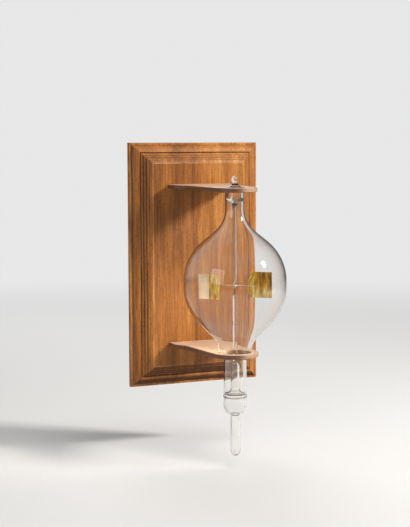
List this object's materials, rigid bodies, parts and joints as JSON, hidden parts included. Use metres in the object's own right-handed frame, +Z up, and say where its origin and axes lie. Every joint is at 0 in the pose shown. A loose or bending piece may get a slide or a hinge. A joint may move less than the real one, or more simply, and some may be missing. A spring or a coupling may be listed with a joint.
{
  "type": "crookes radiometer",
  "caption": "Wall-mounted radiometer: a blown glass bulb held between wooden brackets on a moulded board, with a light vaned rotor turning on a needle point inside.",
  "frame": {"origin": "centre of the board's back face, on the wall", "axes": "+Z up along the board, +Y into the wall (the front looks along -Y), +X to the right seen from the front"},
  "size_m": [0.143, 0.1536, 0.3078],
  "materials": {
    "board_wood": "warm brown varnish, worn to a shine on the edges",
    "bracket_wood": "pale worn wood under thin varnish",
    "screw_steel": "dull steel, turned heads",
    "plate_brass": "tarnished sheet brass",
    "clear_glass": "clear blown glass, fire polished",
    "needle_steel": "polished steel point",
    "arm_wire": "bright drawn wire",
    "vane_mica": "cream sheet, matt",
    "vane_foil": "creased gilt foil, partly darkened"
  },
  "bodies": {
    "stand": {"back_board": "board_wood", "upper_bracket": "bracket_wood", "lower_bracket": "bracket_wood", "upper_bracket_screws": "screw_steel", "lower_bracket_screws": "screw_steel", "hanging_plate": "plate_brass", "hanging_plate_screws": "plate_brass", "upper_neck": "clear_glass", "bulb": "clear_glass", "lower_neck": "clear_glass", "guide_seal": "clear_glass", "guide_tube": "clear_glass", "ring_seal": "clear_glass", "base_bulb": "clear_glass", "tail_tube": "clear_glass", "support_tube": "clear_glass", "support_rod": "clear_glass", "rod_collar": "clear_glass", "needle_bead": "clear_glass", "needle": "needle_steel"},
    "rotor": {"pivot_cup": "clear_glass", "cup_band": "arm_wire", "right_arm_wire": "arm_wire", "right_vane_plate": "vane_mica", "right_vane_foil": "vane_foil", "left_arm_wire": "arm_wire", "left_vane_plate": "vane_mica", "left_vane_foil": "vane_foil"}
  },
  "joints": [
    {"name": "rotor_spin", "type": "hinge", "parent": "stand", "child": "rotor", "pos_m": [0, -0.1031, -0.01401], "axis": [0, 0, 1], "continuous": true}
  ]
}
